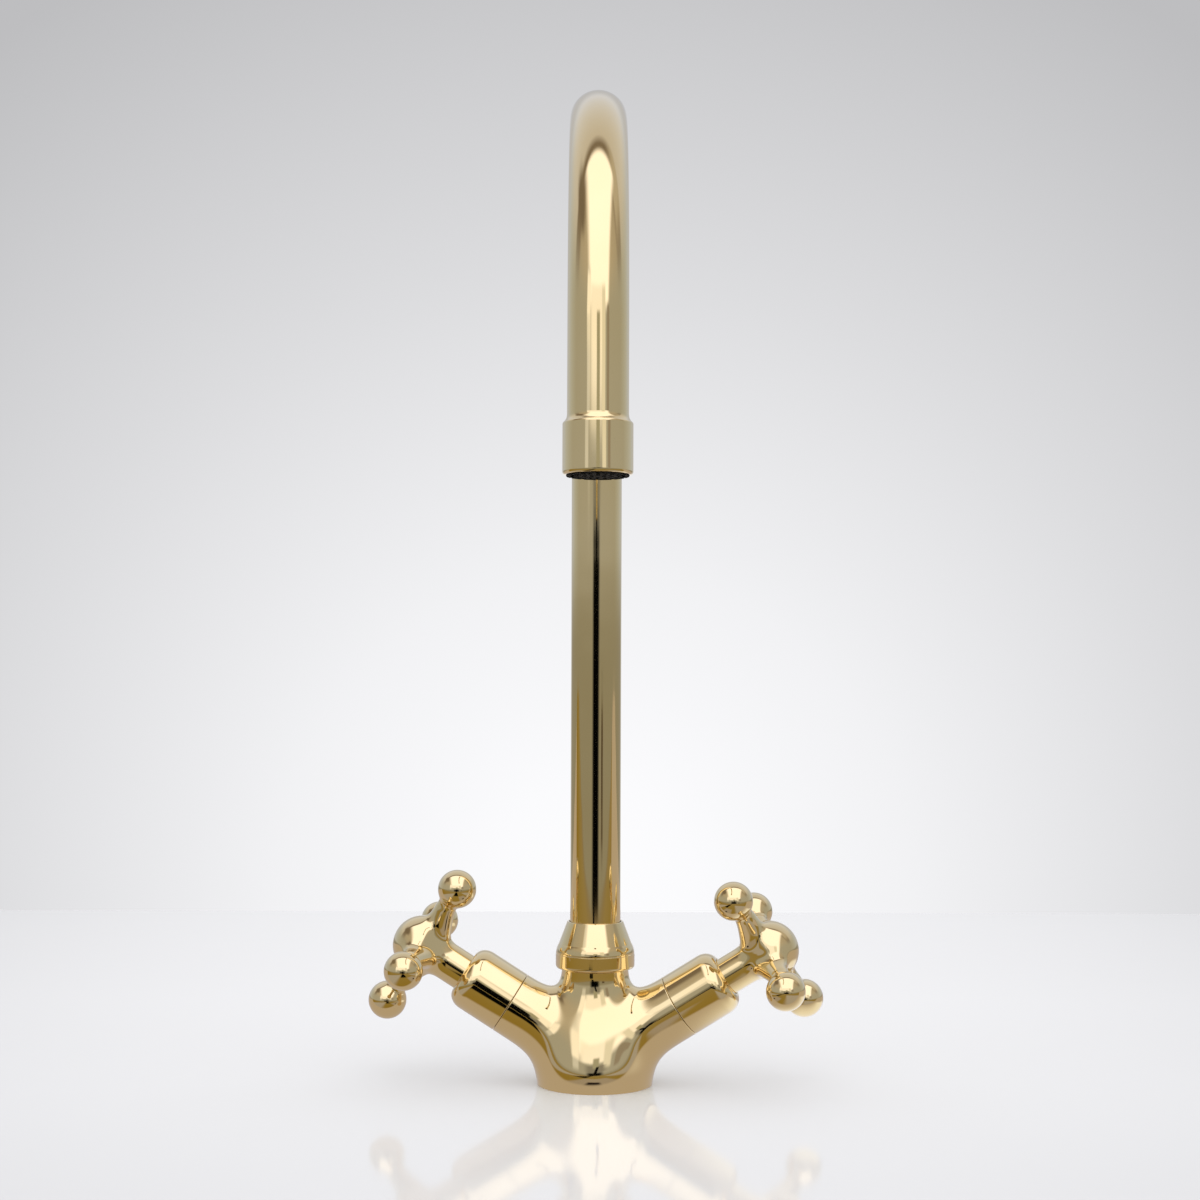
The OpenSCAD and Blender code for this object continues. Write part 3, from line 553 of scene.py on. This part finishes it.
def finished(name, base, other, metal, rough, rough_range, grain_mm, bump_mm, gloss=0.5):
    """A finish for the pieces inside, from its two colours, how metallic it is and how rough.

    The colour drifts from base to other over grain_mm. The roughness drifts either way by
    rough_range over a quarter of that, with a surface that rolls by bump_mm.
    """
    material, tree = blank(name)
    place = add(tree, "TexCoord").outputs["Object"]
    drift = add(tree, "TexNoise", {"Vector": place, "Scale": 1000 / grain_mm, "Detail": 3.0})
    tint = add(tree, "ValToRGB", {"Fac": drift.outputs["Fac"]}, [(0.3, base), (0.7, other)])
    fine = add(tree, "TexNoise", {"Vector": place, "Scale": 4000 / grain_mm, "Detail": 5.0})
    rub = add(tree, "MapRange", {"Value": fine.outputs["Fac"], "To Min": rough - rough_range,
                                 "To Max": rough + rough_range})
    bump = add(tree, "Bump", {"Height": fine.outputs["Fac"], "Strength": 1.0, "Distance": bump_mm / 1000})
    shader = add(tree, "BsdfPrincipled", {
        "Base Color": tint.outputs["Color"], "Roughness": rub.outputs["Result"],
        "Normal": bump.outputs["Normal"], "Metallic": metal, "Specular IOR Level": gloss})
    add(tree, "OutputMaterial", {"Surface": shader.outputs["BSDF"]})
    return material


def polished_brass():
    """Cast and drawn brass, buffed on a mop, under clear lacquer: a near mirror that rolls very slightly."""
    material, tree = blank("polished_brass")
    place = add(tree, "TexCoord").outputs["Object"]
    # Alloy and lacquer drift over about 40 mm
    cloud = add(tree, "TexNoise", {"Vector": place, "Scale": 1000 / 40, "Detail": 2.0})
    tint = add(tree, "ValToRGB", {"Fac": cloud.outputs["Fac"]}, [(0.3, "#F0D79C"), (0.7, "#F3DCA5")])
    # Buffing leaves a faint cloud every 6 mm
    mop = add(tree, "TexNoise", {"Vector": place, "Scale": 1000 / 6.25, "Detail": 4.0})
    rub = add(tree, "MapRange", {"Value": mop.outputs["Fac"], "To Min": 0.03, "To Max": 0.075})
    # Under it the metal rolls by a tenth of a millimetre, every 26 mm or so, 38 times in a metre
    roll = add(tree, "TexNoise", {"Vector": place, "Scale": 38.0, "Detail": 1.0})
    bump = add(tree, "Bump", {"Height": roll.outputs["Fac"], "Strength": 1.0, "Distance": 0.00012})
    shader = add(tree, "BsdfPrincipled", {
        "Base Color": tint.outputs["Color"], "Roughness": rub.outputs["Result"],
        "Normal": bump.outputs["Normal"], "Metallic": 1.0, "Coat Weight": 1.0, "Coat Roughness": 0.03})
    add(tree, "OutputMaterial", {"Surface": shader.outputs["BSDF"]})
    return material


brass = polished_brass()
finishes = {
    "polished_brass": brass,
    # Brass straight from the lathe: duller, with fine tool marks
    "turned_brass": finished("turned_brass", "#D9BE7C", "#C9AC68", 1.0, 0.28, 0.06, 6, 0.01),
    # Moulded nitrile rubber: dark and dry, with a faint bloom
    "rubber": finished("nitrile_rubber", "#1B1B1C", "#262627", 0.0, 0.62, 0.08, 4, 0.02),
    # Moulded sliding plastic: waxy white
    "slip_plastic": finished("acetal", "#E4E3DC", "#EDECE6", 0.0, 0.38, 0.05, 8, 0.01),
    # Pressed red fibre: matt, with a short grain
    "fibre": finished("vulcanised_fibre", "#7A2A20", "#8C3A2C", 0.0, 0.75, 0.06, 2, 0.02),
    # Lapped alumina: smooth and slightly glossy
    "ceramic": finished("alumina", "#F0EEE8", "#F6F5F1", 0.0, 0.22, 0.05, 5, 0.002),
    # Stainless steel, tumbled: a soft grey sheen
    "steel": finished("stainless_steel", "#BFC0C2", "#CBCCCE", 1.0, 0.27, 0.06, 3, 0.005),
    # Injection-moulded black plastic, spark-eroded: matt, with next to no sheen
    "black_plastic": finished("moulded_black_plastic", "#050506", "#0A0A0B", 0.0, 0.6, 0.06, 3, 0.004,
                              gloss=0.08),
}

slots = {s["node"]: s["material_slot"] for s in frame["record"]["subparts"]}
for name, obj in frame["nodes"].items():
    obj.data.materials.clear()
    obj.data.materials.append(finishes[slots[name]])

tap_body(brass)
spout_nut(brass)
spout_tube(brass)
outlet_sleeve(brass)
for side in (-1, 1):
    valve_cover(side, brass)
    cross_handle(side, brass)

# ---------------------------------------------------------------- camera, as the photograph was taken
CAMERA_TURN = math.radians(4.9)      # the tap stands turned this much from the camera
CAMERA_FAR, CAMERA_UP = 1.0, 0.206
PITCH, YAW, ROLL = math.radians(0.3), math.radians(0.09), math.radians(0.2)
SHARP = 2286 / 1200                  # focal length over the picture's width

forward = np.array([math.sin(YAW) * math.cos(PITCH), math.cos(YAW) * math.cos(PITCH), math.sin(PITCH)])
right = np.array([math.cos(YAW), -math.sin(YAW), 0])
up = np.cross(right, forward)
right, up = right * math.cos(ROLL) + up * math.sin(ROLL), up * math.cos(ROLL) - right * math.sin(ROLL)
studio = turn_z(CAMERA_TURN)
at = studio @ [0, -CAMERA_FAR, CAMERA_UP]
lens = bpy.data.cameras.new("camera")
lens.sensor_width = 36
lens.lens = 36 * SHARP
camera = bpy.data.objects.new("camera", lens)
axes = np.stack([studio @ right, studio @ up, studio @ -forward, at], -1)
camera.matrix_world = Matrix([list(row) for row in axes] + [[0, 0, 0, 1]])
bpy.context.scene.collection.objects.link(camera)
bpy.context.scene.camera = camera

# ---------------------------------------------------------------- floor, surroundings and lamp
FLOOR_BACK, FLOOR_OUT = 0.571, 5.0   # the floor's far edge behind the tap, and its other edges
DARK_STRIP = "#050505"               # a dark strip, painted into what the brass mirrors, that runs from the floor up towards the camera
# Linear colours brighter than white: the soft box, the strips lit by it, and all round for matt surfaces
SOFT_BOX, LIT, PLAIN = (1.38, 1.38, 1.6, 1.0), (1.15, 1.15, 1.3, 1.0), (1.1, 1.1, 1.11, 1.0)


def card(name, corners, material):
    """A flat sheet through four corners, given in metres on the studio's axes."""
    mesh = bpy.data.meshes.new(name)
    mesh.from_pydata([tuple(studio @ c) for c in corners], [], [(0, 1, 2, 3)])
    mesh.materials.append(material)
    obj = bpy.data.objects.new(name, mesh)
    bpy.context.scene.collection.objects.link(obj)


def zone(tree, *limits):
    """A share that is 1 inside soft limits and 0 outside: the product of one smooth step per limit.

    A limit (value, start, stop) is 0 up to start and 1 from stop on, where start may be the greater.
    A limit (value, middle, start, stop) goes by how far the value is from the middle.
    """
    share = None
    for value, *middle, start, stop in limits:
        if middle:
            off = add(tree, "Math", {0: value, 1: middle[0]}, operation="SUBTRACT")
            value = add(tree, "Math", {0: off.outputs[0]}, operation="ABSOLUTE").outputs[0]
        step = add(tree, "MapRange", {
            "Value": value, "From Min": min(start, stop), "From Max": max(start, stop),
            "To Min": float(start > stop), "To Max": float(start < stop)}, interpolation_type="SMOOTHSTEP")
        step = step.outputs["Result"]
        if share is None:
            share = step
        else:
            share = add(tree, "Math", {0: share, 1: step}, operation="MULTIPLY").outputs[0]
    return share


def painted(tree, below, above, *limits):
    """One colour laid over another inside soft limits."""
    return add(tree, "Mix", {0: zone(tree, *limits), 6: below, 7: above}, data_type="RGBA").outputs[2]


def floor_finish():
    """White acrylic sheet: pale, with a soft mirror image of what stands on it.

    For the brass the sheet glows instead with a painted reflection: pale near the tap, ending a little in
    front of it, then an ochre field, grey beside it, with a dark strip along it. Far out in front the room
    shows.
    """
    material, tree = blank("white_acrylic")
    place = add(tree, "TexCoord").outputs["Object"]
    turned = add(tree, "VectorRotate", {"Vector": place, "Angle": -CAMERA_TURN}, rotation_type="Z_AXIS")
    axis = add(tree, "SeparateXYZ", {"Vector": turned.outputs["Vector"]})
    x, y = axis.outputs["X"], axis.outputs["Y"]
    # For the camera: polished, with a cloud in the polish every 25 mm, matt close to the camera, and
    # painted shade that darkens it there and out to both sides, where less light falls
    cloud = add(tree, "TexNoise", {"Vector": place, "Scale": 1000 / 25, "Detail": 3.0})
    rub = add(tree, "MapRange", {"Value": cloud.outputs["Fac"], "To Min": 0.06, "To Max": 0.09})
    depth = add(tree, "MapRange", {"Value": y, "From Min": -0.25, "From Max": 0.55})
    pale = add(tree, "ValToRGB", {"Fac": depth.outputs["Result"]}, [
        (0.0, "#DBDBDD"), (0.07, "#E2E2E4"), (0.22, "#E9E9EB"), (0.33, "#ECECEE"), (0.58, "#F1F1F3"),
        (1.0, "#F0F0F2")])
    side_shade = add(tree, "Math", {0: x, 1: x}, operation="MULTIPLY")
    side_shade = add(tree, "MapRange", {"Value": side_shade.outputs[0], "From Min": 0.0, "From Max": 0.2,
                                   "To Max": 0.13})
    pale = add(tree, "Mix", {0: side_shade.outputs["Result"], 6: pale.outputs["Color"], 7: "#000000"},
               data_type="RGBA")
    gloss = add(tree, "MapRange", {"Value": y, "From Min": -0.42, "From Max": -0.3, "To Max": 0.5})
    sheet = add(tree, "BsdfPrincipled", {
        "Roughness": rub.outputs["Result"], "Base Color": pale.outputs[2],
        "Specular IOR Level": gloss.outputs["Result"], "IOR": 1.5})
    # For the brass the sheet glows with a painted reflection: an ochre field, with grey beside it, the dark
    # strip with a gap in it, a tan field in front of the foot, and a dark mark on that
    front = add(tree, "MapRange", {"Value": y, "From Min": -0.6, "From Max": 0.0})
    ochre_reflection = add(tree, "ValToRGB", {"Fac": front.outputs["Result"]}, [
        (0.0, "#8A8070"), (0.3, "#96875F"), (0.7, "#938250"), (0.86, "#927F46"), (0.94, "#907B3C")])
    bare = ochre_reflection.outputs["Color"]
    far = add(tree, "VectorMath", {0: place}, operation="LENGTH").outputs["Value"]
    for code, *limits in (
            ("#ABA8AE", (x, -0.02, 0.08, 0.11), (far, 0.3, 0.25)),
            (DARK_STRIP, (x, -0.07, 0.036, 0.026), (y, -0.37, 0.26, 0.23), (y, -0.376, 0.03, 0.036)),
            ("#A29A98", (x, 0.0, 0.045, 0.03), (y, -0.125, -0.1)),
            ("#1C1517", (x, -0.002, 0.013, 0.006), (y, -0.05, 0.014, 0.006))):
        bare = painted(tree, bare, code, *limits)
    white = painted(tree, "#B9AFAA", "#F6F6FA", (x, 0.14, 0.1, 0.05), (y, 0.05, 0.12, 0.04))
    slant = add(tree, "Math", {0: x, 1: 0.17, 2: y}, operation="MULTIPLY_ADD")
    tone = painted(tree, bare, white, (slant.outputs[0], -0.051, -0.039))
    # The painted reflection glows for glossy rays only, and far out in front it gives way to the room
    painted_reflection = add(tree, "Emission", {"Color": tone})
    gone = add(tree, "BsdfTransparent")
    mirrored = add(tree, "MixShader", {0: zone(tree, (y, -0.5, -0.62)), 1: painted_reflection.outputs[0],
                                       2: gone.outputs[0]})
    light = add(tree, "LightPath")
    both = add(tree, "MixShader", {0: light.outputs["Is Glossy Ray"], 1: sheet.outputs[0],
                                   2: mirrored.outputs[0]})
    add(tree, "OutputMaterial", {"Surface": both.outputs[0]})
    return material


def surroundings():
    """The backdrop that the camera sees, and the room that the brass mirrors, by direction."""
    world = bpy.data.worlds.new("studio")
    world.use_nodes = True
    tree = world.node_tree
    tree.nodes.clear()
    way = add(tree, "TexCoord").outputs["Generated"]
    way = add(tree, "VectorRotate", {"Vector": way, "Angle": -CAMERA_TURN}, rotation_type="Z_AXIS")
    way = way.outputs["Vector"]
    axis = add(tree, "SeparateXYZ", {"Vector": way})
    x, y, z = (axis.outputs[k] for k in "XYZ")
    # Backdrop: painted light, brightest low down behind the tap, and greyer by the angle from there. All
    # round the other sides only the height counts
    low, wide = math.radians(-6.7), math.radians(25)
    flat = add(tree, "VectorMath", {0: way, 1: (1, 1, 0)}, operation="MULTIPLY")
    flat = add(tree, "VectorMath", {0: flat.outputs["Vector"]}, operation="LENGTH")
    level = add(tree, "Mix", {0: zone(tree, (y, 0.9, 0.75)), 2: y, 3: flat.outputs["Value"]},
                data_type="FLOAT")
    drop = add(tree, "Math", {0: z, 1: math.tan(low), 2: level.outputs[0]}, operation="MULTIPLY_ADD")
    near = add(tree, "Math", {0: drop.outputs[0], 1: math.cos(low)}, operation="MULTIPLY")
    off = add(tree, "Math", {0: near.outputs[0]}, operation="ARCCOSINE")
    share = add(tree, "MapRange", {"Value": off.outputs[0], "From Min": 0.0, "From Max": wide})
    backdrop = add(tree, "ValToRGB", {"Fac": share.outputs["Result"]}, [
        (0.0, "#FDFDFE"), (0.1, "#FBFBFD"), (0.31, "#F2F2F4"), (0.6, "#DDDDDF"), (1.0, "#BEBEC0")])
    backdrop = backdrop.outputs["Color"]
    # Room: grey walls, the backdrop behind the tap, and a brown frame overhead between the two, which is
    # paler on the right and comes further down on the left
    back = add(tree, "MapRange", {"Value": y, "From Min": -1.0, "From Max": 1.0}).outputs["Result"]
    walls = add(tree, "ValToRGB", {"Fac": back}, [
        (0.0, "#ADAFB4"), (0.5, "#ABADB0"), (0.65, "#B2B7BF"), (0.85, "#BCC4D2")])
    roof = add(tree, "ValToRGB", {"Fac": back}, [
        (0.0, "#C8C2BE"), (0.4, "#B2ABA5"), (0.47, "#857B74"), (0.56, "#81776F"), (0.61, "#CBCAD3"),
        (1.0, "#DCE2F0")])
    room = painted(tree, walls.outputs["Color"], roof.outputs["Color"], (z, 0.25, 0.6))
    room = painted(tree, room, "#BDB7B2", (x, 0.2, 0.6), (z, 0.4, 0.7), (y, 0.05, 0.2, 0.1))
    room = painted(tree, room, "#7A7068", (x, -0.55, -0.7), (y, 0.0, 0.4, 0.15), (z, 0.55, 0.65))
    # The soft box: a broad bright field from over the camera up to just past overhead
    room = painted(tree, room, SOFT_BOX, (x, -0.64, -0.42), (x, 0.66, 0.52), (y, 0.09, 0.0), (z, 0.24, 0.36))
    # Below it the room is dull. Then come patches, each with the middle and half width of its turn
    # from straight ahead, in radians, and the middle and half height of its rise
    ahead = add(tree, "Math", {0: y, 1: -1}, operation="MULTIPLY")
    compass = add(tree, "Math", {0: x, 1: ahead.outputs[0]}, operation="ARCTAN2").outputs[0]
    room = painted(tree, room, "#93928C", (z, 0.04, -0.02))
    for turn, half_wide, rise, half_high, code in (
            (-0.64, 0.13, 0.3, 0.28, "#D9DDEB"), (-0.64, 0.15, 0.37, 0.17, LIT),      # lit on the left
            (-0.13, 0.4, 0.3, 0.12, "#D5DAE6"), (-0.07, 0.6, 0.33, 0.15, LIT),        # lit in the middle
            (0.36, 0.15, 0.28, 0.2, "#EFF0F6"),                                       # lit on the right
            (0.0, 0.42, 0.11, 0.07, "#8C8C90"), (0.01, 0.14, 0.2, 0.1, "#A9AAA2"),    # dull under those
            (0.65, 0.1, 0.2, 0.14, "#989290"), (0.49, 0.1, -0.07, 0.04, "#5A5046"),   # dull on the right
            (-0.02, 0.34, -0.055, 0.125, "#030304")):                                 # dark at the level
        room = painted(tree, room, code, (compass, turn, half_wide, half_wide * 0.45),
                       (z, rise, half_high, half_high * 0.6))
    # The dark strip leans across the middle
    lean = add(tree, "Math", {0: z, 1: -0.68, 2: compass}, operation="MULTIPLY_ADD")
    room = painted(tree, room, DARK_STRIP, (lean.outputs[0], -0.026, 0.06, 0.035), (z, 0.02, 0.14, 0.11))
    # Behind the tap the brass mirrors the backdrop itself
    room = painted(tree, room, backdrop, (y, 0.78, 0.92))
    light = add(tree, "LightPath")
    lit = add(tree, "Mix", {0: light.outputs["Is Glossy Ray"], 6: PLAIN, 7: room}, data_type="RGBA")
    both = add(tree, "Mix", {0: light.outputs["Is Camera Ray"], 6: lit.outputs[2], 7: backdrop},
               data_type="RGBA")
    shade = add(tree, "Background", {"Color": both.outputs[2], "Strength": 1.0})
    add(tree, "OutputWorld", {"Surface": shade.outputs[0]})
    bpy.context.scene.world = world


def lamp(name, at, towards, width, height, bright):
    """A soft box of even brightness, where 1 is white, facing a point. Places are on the studio's axes.

    The brass doesn't mirror it, because the room has its own soft box painted in.
    """
    data = bpy.data.lights.new(name, "AREA")
    data.shape, data.size, data.size_y = "RECTANGLE", width, height
    data.energy = bright * math.pi * width * height
    obj = bpy.data.objects.new(name, data)
    back = unit(studio @ (np.array(at, float) - towards))
    side = unit(np.cross([0, 0, 1], back))
    axes = np.stack([side, np.cross(back, side), back, studio @ at], -1)
    obj.matrix_world = Matrix([list(row) for row in axes] + [[0, 0, 0, 1]])
    bpy.context.scene.collection.objects.link(obj)
    obj.visible_glossy = False


card("floor", [(-FLOOR_OUT, -FLOOR_OUT, 0), (FLOOR_OUT, -FLOOR_OUT, 0), (FLOOR_OUT, FLOOR_BACK, 0),
               (-FLOOR_OUT, FLOOR_BACK, 0)], floor_finish())
surroundings()
lamp("overhead_box", (0.1, -0.7, 1.5), (0, 0, 0), 1.8, 1.8, 0.6)

view = bpy.context.scene.view_settings
view.view_transform = "Standard"
